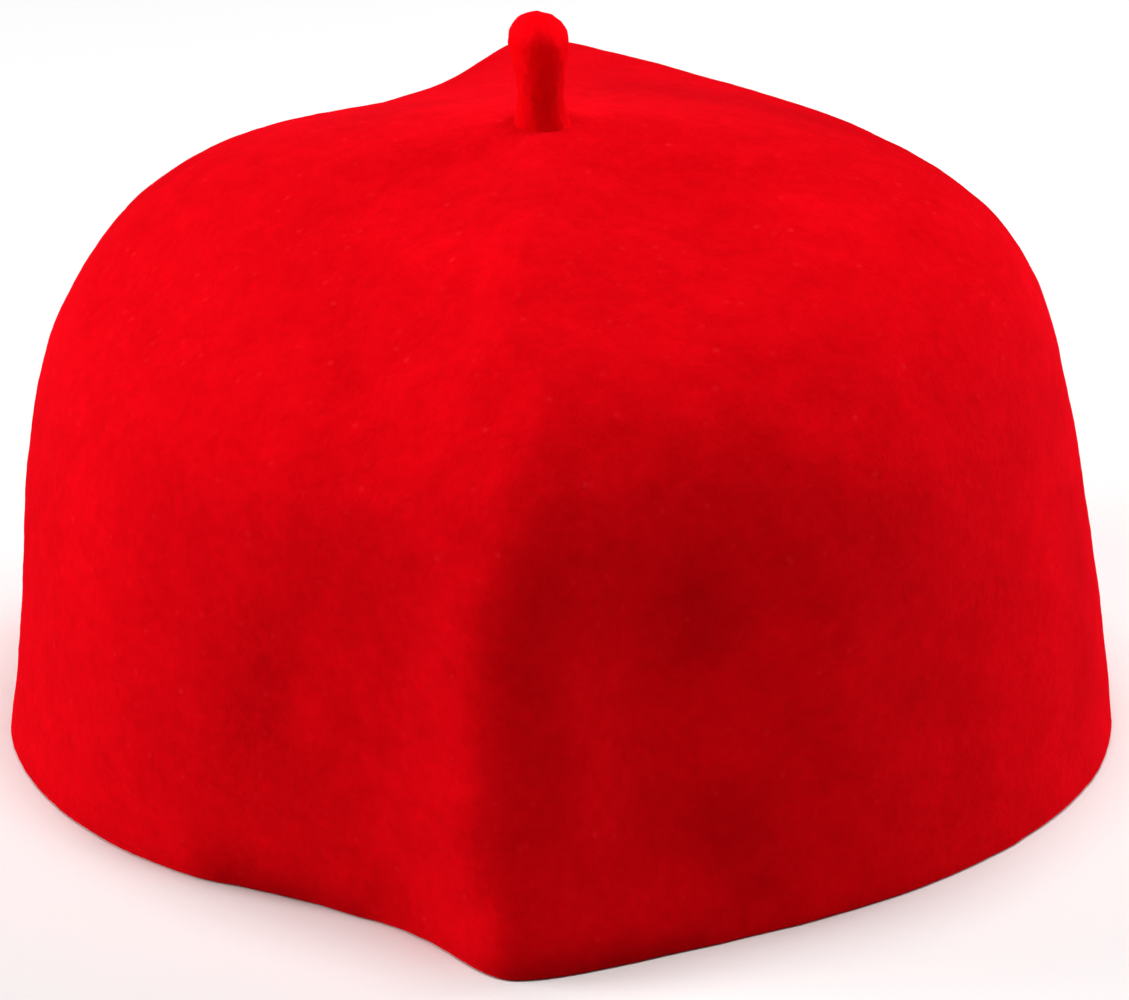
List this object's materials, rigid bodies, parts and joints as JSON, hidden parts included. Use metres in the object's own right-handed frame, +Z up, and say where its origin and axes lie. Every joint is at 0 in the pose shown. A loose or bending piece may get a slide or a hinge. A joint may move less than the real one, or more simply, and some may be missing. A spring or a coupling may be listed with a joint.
{
  "type": "igbo chief cap",
  "caption": "Soft round cap of wool felt with a domed crown, a plain open rim, a fold crease from front to back and a short felt stalk on top.",
  "frame": {"origin": "middle of the footprint, on the surface that the cap's rim rests on", "axes": "+Z up from the rim to the stalk, -Y towards the front crease, +X to the right as seen from the front"},
  "size_m": [0.1918, 0.2048, 0.1298],
  "materials": {
    "crown_felt": "matt bright red wool felt with a short nap and soft fold marks",
    "stalk_felt": "matt red wool felt, rolled tight"
  },
  "bodies": {
    "root": {"crown": "crown_felt", "stalk": "stalk_felt"}
  },
  "joints": []
}
